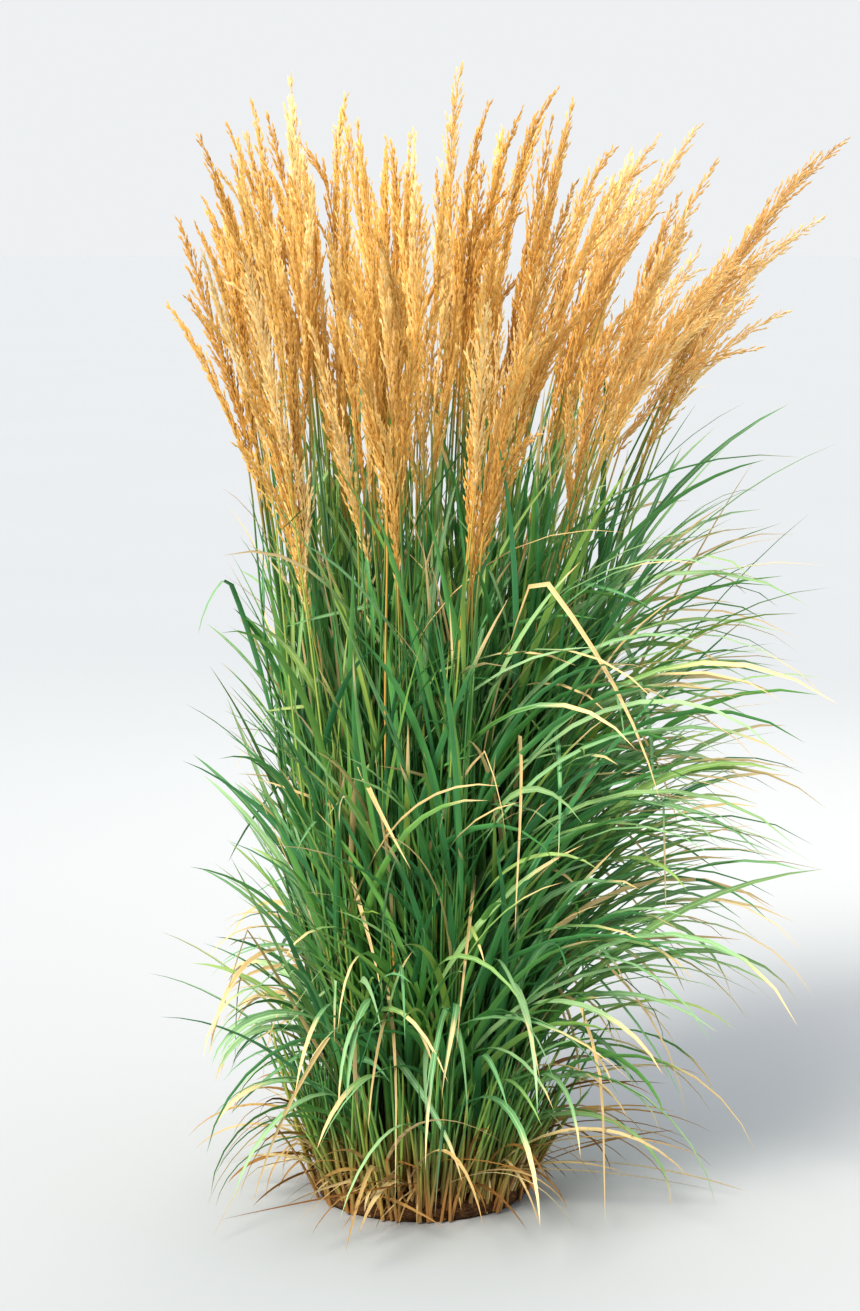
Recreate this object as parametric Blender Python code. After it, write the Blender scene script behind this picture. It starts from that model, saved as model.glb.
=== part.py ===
"""A clump of feather reed grass, lifted with its crown and standing on it.

Culms rise from the crown in bunches and fan out like a fountain. Each bunch carries green blades low down
and a sheaf of straw-gold plumes above. Dry blades from last year arch down to the ground round the foot.
Metres, +Z up, origin at the middle of the crown's flat underside.
"""

import math
import random

import bmesh
import bpy
from mathutils import Quaternion, Vector

# Driving dimensions of the clump
SEED = 11
CLUMP_HEIGHT = 1.50
CROWN_RADIUS = 0.142
CROWN_TOP = 0.048
CROWN_SIDES = 17
CROWN_PROFILE = ((0.0, 0.99), (0.014, 1.03), (0.036, 0.90), (CROWN_TOP, 0.66))
STAND_RADIUS = 0.118
BUNCHES = 24
GAP = 0.0003

# How the culms of a bunch lean, in degrees from the upright
LEAN_AT_ROOT = 8.0
LEAN_GAINED = 24.0
LEAN_TO_RIGHT = 0.84
LINE_STEP = 0.02
LINE_LENGTH = 1.64

# The sheaf of sheathed shoots at the heart of a bunch, which stands in a hole in the crown
FOOT_RADIUS = 0.0095
FOOT_BOTTOM = 0.014
SHEAF_PROFILE = ((0.15, 0.0150, 0.0085), (0.40, 0.0130, 0.0070))
SHEAF_TOP = 0.70

# Culms, from inside the sheaf up to the waist
CULM_RADIUS = 0.0019
CULM_SIDES = 3
CULM_FROM = 0.37
CULM_STEPS = 2
CULM_CLOSE = 0.0038
CULM_APART = 0.0150

# Plumes, one to a culm
PLUMES_PER_BUNCH = 4
NECK_RADIUS = 0.0017
THROAT_RADIUS = 0.0062
THROAT_LENGTH = 0.050
HEAD_LENGTH = (0.26, 0.31)
HEAD_STAGGER = 0.048
HEAD_SPREAD = (0.046, 0.064)
HEAD_TIERS = ((0.06, 0.0085), (0.24, 0.0145), (0.42, 0.0155), (0.60, 0.0130), (0.78, 0.0090))
HEAD_CORE = 0.34
HEAD_RISE = 0.11
HEAD_TURN = 23.0

# Green blades
BLADES_PER_BUNCH = 7
BLADES_IN_EVERY_OTHER = 6
BLADE_FROM = (0.075, 0.53)
BLADE_LENGTH = (0.42, 0.70)
BLADE_WIDTH = (0.0095, 0.0130)
BLADE_KEEL = 0.0014
BLADE_MOST_RIGHT = 0.56
BLADE_PROFILES = (
    (50.0, ((0.0, 0.50), (0.36, 1.0), (0.70, 0.72))),
    (85.0, ((0.0, 0.50), (0.30, 1.0), (0.55, 0.88), (0.78, 0.56))),
    (180.0, ((0.0, 0.45), (0.24, 1.0), (0.45, 0.95), (0.64, 0.78), (0.82, 0.48))),
)

# Dry blades round the foot
DRY_TUFTS = 10
DRY_PER_TUFT = 3
DRY_RADIUS = 0.0050
DRY_RING = 0.129
DRY_BOTTOM = 0.012
DRY_TOP = 0.050

# Stubble of last year's culms
STUBS = 14
STUB_RADIUS = 0.0024

# Colours, as linear values of what the photograph shows
LEAF_GREEN = (0.075, 0.215, 0.060)
PLUME_GOLD = (0.660, 0.330, 0.090)
DRY_STRAW = (0.620, 0.430, 0.190)
CROWN_BROWN = (0.120, 0.065, 0.028)

GOLDEN_ANGLE = math.radians(137.508)
UP = Vector((0.0, 0.0, 1.0))


class Space:
    """What stands where, as balls strung along each line, so that pieces of different nodes keep clear."""

    CELL = 0.036

    def __init__(self):
        self.cells = {}

    def cell(self, point):
        return tuple(math.floor(value / self.CELL) for value in point)

    def add(self, owner, balls):
        for place, radius in balls:
            self.cells.setdefault(self.cell(place), []).append((place, radius, owner))

    def near(self, place):
        x, y, z = self.cell(place)
        for i in (x - 1, x, x + 1):
            for j in (y - 1, y, y + 1):
                for k in (z - 1, z, z + 1):
                    yield from self.cells.get((i, j, k), ())

    def clear(self, owner, balls, margin, own_from=0):
        """Whether the balls miss those of every other owner, and from ball own_from on also the owner's."""
        for index, (place, radius) in enumerate(balls):
            for other, other_radius, other_owner in self.near(place):
                if other_owner == owner and index < own_from:
                    continue
                reach = radius + other_radius + margin
                if (place - other).length_squared < reach * reach:
                    return False
        return True


def between(low, high, share):
    return low + (high - low) * share


def along(line, distance):
    """The point at that distance along a line of points LINE_STEP apart."""
    place = min(max(distance / LINE_STEP, 0.0), len(line) - 1.001)
    index = int(place)
    return line[index].lerp(line[index + 1], place - index)


def heading_along(line, distance):
    return (along(line, distance + LINE_STEP) - along(line, distance - LINE_STEP)).normalized()


def centre_line(radius, azimuth, height):
    """The middle of a bunch from its foot up: the further out it stands, the more it leans and arches."""
    out = Vector((math.cos(azimuth), math.sin(azimuth), 0.0))
    gained = LEAN_GAINED * (1 + LEAN_TO_RIGHT * math.cos(azimuth))
    line = [out * radius + UP * FOOT_BOTTOM]
    for index in range(int(LINE_LENGTH / LINE_STEP)):
        done = max(0.0, (index + 0.5) * LINE_STEP - CROWN_TOP) / height
        lean = math.radians(radius / STAND_RADIUS * (LEAN_AT_ROOT * min(1.0, 12 * done) + gained * done**2.5))
        line.append(line[-1] + LINE_STEP * (out * math.sin(lean) + UP * math.cos(lean)))
    return line


def strung(points, radii, spacing=0.007):
    """Balls along a line of points, close enough together to stand for a rod of those radii."""
    balls = []
    for start, end, r0, r1 in zip(points, points[1:], radii, radii[1:]):
        count = max(1, math.ceil((end - start).length / spacing))
        for i in range(count):
            balls.append((start.lerp(end, i / count), between(r0, r1, i / count)))
    balls.append((points[-1], radii[-1]))
    return balls


def sideways(bunch, angle, distance):
    """The way to one side of a bunch's middle line, square to it."""
    heading = heading_along(bunch["line"], distance)
    across = Vector((-math.sin(bunch["azimuth"]), math.cos(bunch["azimuth"]), 0.0))
    return across.cross(heading) * math.cos(angle) + across * math.sin(angle)


def culm_line(bunch, index):
    """A culm's own line from the sheaf to the waist, where the culms of a bunch lean together."""
    angle = bunch["turn"] + index * math.tau / bunch["count"]
    points = []
    for step in range(CULM_STEPS + 1):
        share = step / CULM_STEPS
        apart = between(CULM_CLOSE, CULM_APART, math.sin(math.pi * share))
        distance = between(CULM_FROM, bunch["waist"], share)
        points.append(along(bunch["line"], distance) + sideways(bunch, angle, distance) * apart)
    return points


def plume_line(bunch, plume, steps):
    """A plume's line from the waist to its tip, leaning out from the middle of the bunch."""
    points = []
    for step in range(steps + 1):
        share = step / steps
        distance = between(bunch["waist"] + 0.010 * (plume["index"] > 0), plume["tip"], share)
        apart = plume["spread"] * share**1.15
        points.append(along(bunch["line"], distance) + sideways(bunch, plume["angle"], distance) * apart)
    return points


def head_share(bunch, plume):
    """Where the head begins, as a share of the plume's line."""
    return 1 - plume["length"] / (plume["tip"] - bunch["waist"])


def plume_balls(bunch, plume):
    line = plume_line(bunch, plume, 12)
    start = head_share(bunch, plume)
    radii = []
    for index in range(13):
        along_head = (index / 12 - start) / (1 - start)
        wide = between(0.017, 0.007, max(0.0, along_head - 0.5) * 2)
        radii.append(wide if along_head > -0.1 else THROAT_RADIUS if index == 0 else 0.003)
    return strung(line, radii)


def sheaf_line(bunch):
    """The few points that a sheaf is built through, and how far up the bunch each is."""
    distances = [0.0, CROWN_TOP - FOOT_BOTTOM + 0.006]
    distances += [distance for distance, ridge, valley in SHEAF_PROFILE] + [SHEAF_TOP]
    return distances, [along(bunch["line"], distance) for distance in distances]


def sheaf_balls(bunch):
    ridges = [ridge for distance, ridge, valley in SHEAF_PROFILE]
    return strung(sheaf_line(bunch)[1], [FOOT_RADIUS, FOOT_RADIUS] + ridges + [0.001])


def in_sheaf(bunch, distance):
    """The middle of the built sheaf at that distance."""
    distances, points = sheaf_line(bunch)
    index = max(i for i in range(len(distances) - 1) if distances[i] <= distance)
    share = (distance - distances[index]) / (distances[index + 1] - distances[index])
    return points[index].lerp(points[index + 1], share)


def grow_bunch(draw, space, number):
    """One bunch: where it stands, its middle line, its culms and its plumes, drawn until it is clear."""
    for attempt in range(200):
        radius = STAND_RADIUS * math.sqrt((number + 0.5) / BUNCHES) * draw.uniform(0.97, 1.03)
        azimuth = number * GOLDEN_ANGLE + draw.uniform(-0.10, 0.10)
        front = max(0.0, -math.sin(azimuth)) * radius / STAND_RADIUS
        height = CLUMP_HEIGHT * draw.uniform(0.94, 1.02) * (1 - 0.13 * front)
        stagger = HEAD_STAGGER * (1 - 0.5 * front)
        bunch = {
            "name": f"{number + 1:02d}",
            "radius": radius,
            "azimuth": azimuth,
            "count": PLUMES_PER_BUNCH,
            "turn": draw.uniform(0, math.tau),
            "height": height,
            "line": centre_line(radius, azimuth, height),
            "blades": [],
        }
        top = height - FOOT_BOTTOM
        bunch["waist"] = top - stagger * (bunch["count"] - 1) - HEAD_LENGTH[1] - 0.04
        bunch["plumes"] = [
            {
                "index": index,
                "tip": top - stagger * index + draw.uniform(-0.02, 0.02) * (index > 0),
                "length": draw.uniform(*HEAD_LENGTH),
                "spread": draw.uniform(*HEAD_SPREAD),
                "angle": bunch["turn"] + index * math.tau / bunch["count"] + draw.uniform(-0.25, 0.25),
            }
            for index in range(bunch["count"])
        ]
        stems = sheaf_balls(bunch)
        plumes = []
        for index in range(bunch["count"]):
            stems += strung(culm_line(bunch, index), [CULM_RADIUS] * (CULM_STEPS + 1))
            plumes += plume_balls(bunch, bunch["plumes"][index])
        if space.clear("", stems + plumes, 0.002):
            space.add(bunch["name"], stems)
            space.add("plumes", plumes)
            return bunch
    raise ValueError(f"bunch {number + 1} has no room")


def arch(start, heading, drift, angles, length, bend, steps=24):
    """Points along a blade that leaves start in the heading's direction and bends down under its weight.

    The angles are those from the upright at the root and at the tip, in degrees."""
    points = [start]
    for index in range(steps):
        share = (index + 0.5) / steps
        lean = math.radians(between(angles[0], angles[1], share**bend))
        way = heading + drift * share
        out = Vector((math.cos(way), math.sin(way), 0.0))
        points.append(points[-1] + length / steps * (out * math.sin(lean) + UP * math.cos(lean)))
    return points


def profile(blade):
    """Where along a blade its sections stand and how wide they are, more of them where it bends more."""
    root, tip = blade["arch"][3]
    return next(sections for bend, sections in BLADE_PROFILES if tip - root <= bend)


def blade_line(blade):
    """The few points that a blade is built through, from its root to its tip."""
    fine = arch(*blade["arch"])
    places = [share * (len(fine) - 1) for share, width in profile(blade)]
    return [fine[int(place)].lerp(fine[int(place) + 1], place % 1) for place in places] + [fine[-1]]


def blade_balls(blade):
    radii = [max(0.0014, blade["width"] / 2 * width) for share, width in profile(blade)]
    return strung(blade_line(blade), radii + [0.0014])


def within_reach(balls):
    return all(place.z > max(0.004, radius) and place.x < BLADE_MOST_RIGHT for place, radius in balls)


def grow_blade(draw, space, bunch, rank):
    """A green blade from the bunch's sheaf, low ranks low down. It is drawn until it misses the rest."""
    share = bunch["radius"] / STAND_RADIUS
    for attempt in range(120):
        high = (rank + draw.random()) / BLADES_PER_BUNCH
        distance = between(*BLADE_FROM, high)
        spread = between(math.pi, 1.1, share)
        heading = bunch["azimuth"] + draw.uniform(-spread, spread)
        to_right = 0.5 + 0.5 * math.cos(heading)
        middle = heading_along(bunch["line"], distance)
        lean = math.degrees(math.acos(middle.z)) * math.cos(heading - bunch["azimuth"])
        root = lean + draw.uniform(9, 20) + share * (1 - high) ** 2 * draw.uniform(0, 30)
        droop = between(24, 118, share * draw.uniform(0.45, 1.0)) * between(1.0, 0.62, high)
        droop *= between(0.55, 1.08, to_right)
        blade = {
            "arch": (
                in_sheaf(bunch, distance),
                heading,
                draw.uniform(-0.5, 0.5),
                (root, root + droop),
                draw.uniform(*BLADE_LENGTH) * between(1.0, 0.90, high) * between(0.55, 1.0, to_right),
                draw.uniform(1.2, 1.9),
            ),
            "width": draw.uniform(*BLADE_WIDTH),
            "roll": draw.choice((-1, 1)) * draw.uniform(0.2, 0.7),
        }
        balls = blade_balls(blade)
        if within_reach(balls) and space.clear(bunch["name"], balls, 0.0012, own_from=16):
            space.add(bunch["name"], balls)
            bunch["blades"].append(blade)
            return


def grow_dry_tuft(draw, space, number):
    """A few dry blades from one spot on the crown's rim, arching down to the ground."""
    for attempt in range(100):
        azimuth = (number + 0.5) * math.tau / DRY_TUFTS + draw.uniform(-0.25, 0.25)
        foot = Vector((math.cos(azimuth), math.sin(azimuth), 0.0)) * DRY_RING + UP * DRY_TOP
        stem = strung([foot - UP * (DRY_TOP - DRY_BOTTOM), foot], [DRY_RADIUS] * 2)
        if space.clear("", stem, 0.002):
            break
    tuft = {"name": f"dry_{number + 1:02d}", "azimuth": azimuth, "foot": foot, "blades": []}
    space.add(tuft["name"], stem)
    for rank in range(DRY_PER_TUFT):
        for attempt in range(80):
            heading = azimuth + between(-0.62, 0.62, (rank + draw.random()) / DRY_PER_TUFT)
            to_right = 0.5 + 0.5 * math.cos(heading)
            root = draw.uniform(24, 62)
            blade = {
                "arch": (
                    foot - UP * 0.004,
                    heading,
                    draw.uniform(-0.5, 0.5),
                    (root, draw.uniform(112, 150)),
                    draw.uniform(0.17, 0.40) * between(0.62, 1.0, to_right),
                    draw.uniform(0.9, 1.4),
                ),
                "width": draw.uniform(0.0060, 0.0090),
                "roll": draw.choice((-1, 1)) * draw.uniform(0.1, 0.7),
            }
            balls = blade_balls(blade)
            if within_reach(balls) and space.clear(tuft["name"], balls, 0.001, own_from=12):
                space.add(tuft["name"], balls)
                tuft["blades"].append(blade)
                break
    return tuft


def grow_stubs(draw, space):
    """Where last year's cut culms stand on the crown, clear of this year's bunches."""
    stubs = []
    while len(stubs) < STUBS:
        azimuth = draw.uniform(0, math.tau)
        out = Vector((math.cos(azimuth), math.sin(azimuth), 0.0))
        foot = out * CROWN_RADIUS * draw.uniform(0.86, 0.95) + UP * 0.008
        tip = foot + out * draw.uniform(0.006, 0.032) + UP * draw.uniform(0.05, 0.10)
        balls = strung([foot, tip], [STUB_RADIUS] * 2)
        if space.clear("", balls, 0.003):
            space.add("crown", balls)
            stubs.append((foot, tip))
    return stubs


def grow():
    """The whole clump as lines. Everything random comes from one seeded draw."""
    draw = random.Random(SEED)
    space = Space()
    bunches = [grow_bunch(draw, space, number) for number in range(BUNCHES)]
    stubs = grow_stubs(draw, space)
    tufts = [grow_dry_tuft(draw, space, number) for number in range(DRY_TUFTS)]
    for rank in range(BLADES_PER_BUNCH):
        for bunch in bunches[:: 1 if rank < BLADES_IN_EVERY_OTHER else 2]:
            grow_blade(draw, space, bunch, rank)
    return bunches, tufts, stubs


def material(name, colour, roughness):
    made = bpy.data.materials.new(name)
    made.use_nodes = True
    shader = made.node_tree.nodes["Principled BSDF"]
    shader.inputs["Base Color"].default_value = (*colour, 1.0)
    shader.inputs["Roughness"].default_value = roughness
    shader.inputs["Metallic"].default_value = 0.0
    made.diffuse_color = (*colour, 1.0)
    return made


def solid(name, rings, finish, tip=None, twisted=False):
    """A closed solid through the rings, from the first to the last, or on to a point.

    The sides of a twisted one are split along their outer diagonals, so that its walls can't cross."""
    bm = bmesh.new()
    loops = [[bm.verts.new(place) for place in ring] for ring in rings]
    for low, high in zip(loops, loops[1:]):
        middle = sum((corner.co for corner in low + high), Vector()) / (2 * len(low))
        for i in range(len(low)):
            j = (i + 1) % len(low)
            rising = high[j].co - low[i].co
            falling = low[j].co - high[i].co
            outward = rising.cross(falling)
            if outward.dot(low[i].co + high[j].co - 2 * middle) < 0:
                outward = -outward
            if not twisted:
                bm.faces.new((low[i], low[j], high[j], high[i]))
            elif outward.dot(low[i].co + high[j].co - low[j].co - high[i].co) > 0:
                bm.faces.new((low[i], low[j], high[j]))
                bm.faces.new((low[i], high[j], high[i]))
            else:
                bm.faces.new((low[i], low[j], high[i]))
                bm.faces.new((low[j], high[j], high[i]))
    bm.faces.new(loops[0])
    if tip is None:
        bm.faces.new(loops[-1])
    else:
        end = bm.verts.new(tip)
        for i in range(len(loops[-1])):
            bm.faces.new((loops[-1][i], loops[-1][(i + 1) % len(loops[-1])], end))
    bmesh.ops.triangulate(bm, faces=bm.faces)
    bmesh.ops.recalc_face_normals(bm, faces=bm.faces)
    mesh = bpy.data.meshes.new(name)
    bm.to_mesh(mesh)
    bm.free()
    mesh.materials.append(finish)
    made = bpy.data.objects.new(name, mesh)
    bpy.context.scene.collection.objects.link(made)
    return made


def ring_round(centre, heading, radii, rises=None, turn=0.0):
    """Points round a centre, square to the heading, one for each radius, each raised along the heading."""
    side = heading.cross(Vector((0.0, 1.0, 0.0))).normalized()
    other = heading.cross(side)
    points = []
    for index, radius in enumerate(radii):
        angle = turn + index * math.tau / len(radii)
        rise = rises[index] if rises else 0.0
        points.append(centre + (side * math.cos(angle) + other * math.sin(angle)) * radius + heading * rise)
    return points


def rod(name, line, radii, sides, finish, end_heading=None):
    rings = []
    for index, (place, radius) in enumerate(zip(line, radii)):
        heading = (line[min(index + 1, len(line) - 1)] - line[max(index - 1, 0)]).normalized()
        if end_heading and index == len(line) - 1:
            heading = end_heading
        rings.append(ring_round(place, heading, [radius] * sides))
    return solid(name, rings, finish)


def blade_solid(name, blade, finish):
    """A blade with a flat face above and a keel below, drawn to a point."""
    line = blade_line(blade)
    way, drift = blade["arch"][1:3]
    rings = []
    for index, (share, width) in enumerate(profile(blade)):
        heading = (line[index + 1] - line[max(index - 1, 0)]).normalized()
        turned = way + drift * share
        across = Vector((-math.sin(turned), math.cos(turned), 0.0))
        across.rotate(Quaternion(heading, blade["roll"] * min(1.0, 2 * share)))
        below = across.cross(heading).normalized()
        half = across * (blade["width"] * width / 2)
        rings.append([line[index] - half, line[index] + half, line[index] + below * BLADE_KEEL])
    return solid(name, rings, finish, tip=line[-1], twisted=True)


def plume_solid(name, bunch, plume, finish):
    """A plume: a bare neck, then tiers of branchlets that point up and out, two to a tier."""
    steps = 40
    line = plume_line(bunch, plume, steps)
    start = head_share(bunch, plume)

    def ring(share, radii, rises=None, turn=0.0):
        place = min(share, 1.0) * (steps - 0.001)
        index = int(place)
        heading = (line[min(index + 2, steps)] - line[max(index - 1, 0)]).normalized()
        return ring_round(line[index].lerp(line[index + 1], place - index), heading, radii, rises, turn)

    if plume["index"] == 0:
        heading = heading_along(bunch["line"], bunch["waist"])
        rings = [ring_round(line[0] + GAP * heading, heading, [THROAT_RADIUS] * 4)]
        rings.append(ring(THROAT_LENGTH / (plume["tip"] - bunch["waist"]), [NECK_RADIUS * 1.5] * 4))
    else:
        rings = [ring(0.0, [NECK_RADIUS] * 4)]
    rise = HEAD_RISE * plume["length"]
    for tier, (share, reach) in enumerate(HEAD_TIERS):
        points = [(reach, rise) if (i + tier) % 2 == 0 else (reach * HEAD_CORE, 0.0) for i in range(4)]
        radii, rises = zip(*points)
        rings.append(ring(between(start, 1.0, share), radii, rises, math.radians(tier * HEAD_TURN)))
    return solid(name, rings, finish, tip=line[-1])


def fuse(base, members, operation="UNION"):
    """One Boolean on the members' collection, applied. The members are then removed."""
    group = bpy.data.collections.new(base.name + "_members")
    bpy.context.scene.collection.children.link(group)
    for member in members:
        bpy.context.scene.collection.objects.unlink(member)
        group.objects.link(member)
    join = base.modifiers.new("fuse", "BOOLEAN")
    join.operation = operation
    join.operand_type = "COLLECTION"
    join.collection = group
    join.solver = "MANIFOLD"
    bpy.context.view_layer.update()
    graph = bpy.context.evaluated_depsgraph_get()
    fused = bpy.data.meshes.new_from_object(base.evaluated_get(graph))
    base.modifiers.clear()
    base.data = fused
    for member in members:
        bpy.data.objects.remove(member)
    bpy.data.collections.remove(group)
    return base


def upright(name, place, radius, sides, bottom, top, finish, turn=0.0):
    rings = [
        ring_round(Vector((place.x, place.y, z)), UP, [radius] * sides, turn=turn)
        for z in (bottom, top)
    ]
    return solid(name, rings, finish)


def build_crown(bunches, tufts, stubs, finish):
    """The crown: a low fibrous mound with a flat underside, a hole for each bunch and dry tuft, and stubble."""
    draw = random.Random(SEED)
    rings = [
        ring_round(UP * z, UP, [CROWN_RADIUS * share * draw.uniform(0.96, 1.04) for side in range(CROWN_SIDES)])
        for z, share in CROWN_PROFILE
    ]
    crown = solid("crown", rings, finish)
    pegs = [rod("stub", [foot, tip], [STUB_RADIUS] * 2, 3, finish) for foot, tip in stubs]
    fuse(crown, pegs)
    holes = [
        upright("hole", bunch["line"][0], FOOT_RADIUS + GAP * 1.2, 6, FOOT_BOTTOM - GAP, 0.2, finish)
        for bunch in bunches
    ]
    holes += [
        upright("hole", tuft["foot"], DRY_RADIUS + GAP * 1.5, 4, DRY_BOTTOM - GAP, 0.2, finish)
        for tuft in tufts
    ]
    return fuse(crown, holes, "DIFFERENCE")


def build_leafy_stems(bunch, finish):
    """A bunch's sheaf, the culms that leave it and its blades, fused into one green body."""
    line = bunch["line"]
    points = sheaf_line(bunch)[1]
    rings = [ring_round(place, UP, [FOOT_RADIUS] * 6) for place in points[:2]]
    for place, (distance, ridge, valley) in zip(points[2:], SHEAF_PROFILE):
        rings.append(ring_round(place, heading_along(line, distance), [ridge, valley] * 3))
    sheaf = solid(f"leafy_stems_{bunch['name']}", rings, finish, tip=points[-1])
    waist = heading_along(line, bunch["waist"])
    radii = [CULM_RADIUS] * (CULM_STEPS + 1)
    members = []
    for index in range(bunch["count"]):
        members.append(rod("culm", culm_line(bunch, index), radii, CULM_SIDES, finish, waist))
    for blade in bunch["blades"]:
        members.append(blade_solid("blade", blade, finish))
    return fuse(sheaf, members)


def build_plumes(bunch, finish):
    """The bunch's plumes, whose necks spring from one throat above the culms."""
    plumes = [plume_solid(f"plumes_{bunch['name']}", bunch, plume, finish) for plume in bunch["plumes"]]
    return fuse(plumes[0], plumes[1:])


def build_dry_tuft(tuft, finish):
    rings = [
        ring_round(Vector((tuft["foot"].x, tuft["foot"].y, z)), UP, [DRY_RADIUS] * 4)
        for z in (DRY_BOTTOM, DRY_TOP)
    ]
    foot = solid(tuft["name"].replace("dry", "dry_blades"), rings, finish)
    return fuse(foot, [blade_solid("blade", blade, finish) for blade in tuft["blades"]])


def main():
    for old in list(bpy.data.objects):
        bpy.data.objects.remove(old)
    bunches, tufts, stubs = grow()
    green = material("fresh_blades", LEAF_GREEN, 0.55)
    gold = material("plumes", PLUME_GOLD, 0.80)
    straw = material("dry_blades", DRY_STRAW, 0.75)
    brown = material("crown", CROWN_BROWN, 0.90)
    build_crown(bunches, tufts, stubs, brown)
    for bunch in bunches:
        build_leafy_stems(bunch, green)
        build_plumes(bunch, gold)
    for tuft in tufts:
        build_dry_tuft(tuft, straw)


main()
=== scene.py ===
import math
import random

import bmesh
import bpy
import numpy as np
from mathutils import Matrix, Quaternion, Vector, noise


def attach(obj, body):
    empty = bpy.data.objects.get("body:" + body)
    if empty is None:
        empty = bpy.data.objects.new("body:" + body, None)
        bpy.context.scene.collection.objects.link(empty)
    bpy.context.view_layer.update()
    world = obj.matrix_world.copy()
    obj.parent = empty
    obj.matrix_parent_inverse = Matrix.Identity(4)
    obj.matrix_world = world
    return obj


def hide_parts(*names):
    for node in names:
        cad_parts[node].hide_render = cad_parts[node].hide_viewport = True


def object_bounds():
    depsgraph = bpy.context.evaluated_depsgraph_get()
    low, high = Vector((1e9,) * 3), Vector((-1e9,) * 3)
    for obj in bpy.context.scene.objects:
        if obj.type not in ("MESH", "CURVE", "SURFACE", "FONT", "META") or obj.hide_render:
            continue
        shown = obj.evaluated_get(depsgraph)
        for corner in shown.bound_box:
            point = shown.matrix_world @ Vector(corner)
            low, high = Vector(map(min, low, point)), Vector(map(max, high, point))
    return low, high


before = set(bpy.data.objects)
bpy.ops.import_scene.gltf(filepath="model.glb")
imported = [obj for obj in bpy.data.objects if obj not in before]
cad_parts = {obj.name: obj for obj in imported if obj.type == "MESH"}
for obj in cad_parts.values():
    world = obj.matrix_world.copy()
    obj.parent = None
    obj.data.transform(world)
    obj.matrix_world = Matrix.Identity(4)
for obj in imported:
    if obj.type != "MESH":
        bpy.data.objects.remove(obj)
cadLow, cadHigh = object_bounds()
print("frame loaded:", len(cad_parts), "nodes")

goldenAngle = math.radians(137.508)
upright = Vector((0.0, 0.0, 1.0))

# the clump grows by the same rule and the same draw as the solids
clump = {
    "seed": 11, "height": 1.50, "bunches": 24, "standRadius": 0.118, "crownRadius": 0.142,
    "crownTop": 0.048,
}
leaning = {"root": 8.0, "gained": 24.0, "toRight": 0.84, "step": 0.02, "reach": 1.64}
sheaf = {"radius": 0.0095, "bottom": 0.014, "levels": ((0.15, 0.0150), (0.40, 0.0130)), "top": 0.70}
culm = {"radius": 0.0019, "start": 0.37, "steps": 2, "close": 0.0038, "apart": 0.0150}
head = {"perBunch": 4, "throat": 0.0062, "length": (0.26, 0.31), "stagger": 0.048, "spread": (0.046, 0.064)}
blade = {
    "perBunch": 7, "everyOther": 6, "start": (0.075, 0.53), "length": (0.42, 0.70),
    "width": (0.0095, 0.0130), "mostRight": 0.56,
    "sections": (
        (50.0, ((0.0, 0.50), (0.36, 1.0), (0.70, 0.72))),
        (85.0, ((0.0, 0.50), (0.30, 1.0), (0.55, 0.88), (0.78, 0.56))),
        (180.0, ((0.0, 0.45), (0.24, 1.0), (0.45, 0.95), (0.64, 0.78), (0.82, 0.48))),
    ),
}
tuft = {"count": 10, "blades": 3, "radius": 0.0050, "ring": 0.129, "bottom": 0.012, "top": 0.050}
stub = {"count": 14, "radius": 0.0024}
# balls that fill what has grown, kept by cells of space, so that what comes later can miss them
room = {}
roomCell = 0.036


def between(low, high, share):
    return low + (high - low) * share


def outward(azimuth):
    return Vector((math.cos(azimuth), math.sin(azimuth), 0.0))


def leftOf(out):
    return Vector((-out.y, out.x, 0.0))


def tilted(out, lean):
    # a way that leans outwards from upright
    return out * math.sin(lean) + upright * math.cos(lean)


def rightward(heading):
    # 0 to the viewer's left, 1 to the right
    return 0.5 + 0.5 * math.cos(heading)


def cellOf(point):
    return tuple(math.floor(value / roomCell) for value in point)


def fill(owner, balls):
    for place, radius in balls:
        room.setdefault(cellOf(place), []).append((place, radius, owner))


def near(place):
    x, y, z = cellOf(place)
    for i in (x - 1, x, x + 1):
        for j in (y - 1, y, y + 1):
            for k in (z - 1, z, z + 1):
                yield from room.get((i, j, k), ())


def isClear(owner, balls, margin, ownFrom=0):
    for index, (place, radius) in enumerate(balls):
        for other, otherRadius, otherOwner in near(place):
            if otherOwner == owner and index < ownFrom:
                continue
            reach = radius + otherRadius + margin
            if (place - other).length_squared < reach * reach:
                return False
    return True


def along(line, distance):
    place = min(max(distance / leaning["step"], 0.0), len(line) - 1.001)
    index = int(place)
    return line[index].lerp(line[index + 1], place - index)


def headingAlong(line, distance):
    step = leaning["step"]
    return (along(line, distance + step) - along(line, distance - step)).normalized()


def leanAt(bunch, distance, heading):
    # how far the middle of a bunch leans that way, in degrees
    middle = headingAlong(bunch["line"], distance)
    return math.degrees(math.acos(middle.z)) * math.cos(heading - bunch["azimuth"])


def centreLine(radius, azimuth, height):
    out = outward(azimuth)
    gained = leaning["gained"] * (1 + leaning["toRight"] * math.cos(azimuth))
    line = [out * radius + upright * sheaf["bottom"]]
    for index in range(int(leaning["reach"] / leaning["step"])):
        done = max(0.0, (index + 0.5) * leaning["step"] - clump["crownTop"]) / height
        share = radius / clump["standRadius"]
        lean = math.radians(share * (leaning["root"] * min(1.0, 12 * done) + gained * done**2.5))
        line.append(line[-1] + leaning["step"] * tilted(out, lean))
    return line


def strung(points, radii, spacing=0.007):
    balls = []
    for start, end, r0, r1 in zip(points, points[1:], radii, radii[1:]):
        count = max(1, math.ceil((end - start).length / spacing))
        for i in range(count):
            balls.append((start.lerp(end, i / count), between(r0, r1, i / count)))
    balls.append((points[-1], radii[-1]))
    return balls


def sideways(bunch, angle, distance):
    heading = headingAlong(bunch["line"], distance)
    across = leftOf(outward(bunch["azimuth"]))
    return across.cross(heading) * math.cos(angle) + across * math.sin(angle)


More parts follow.
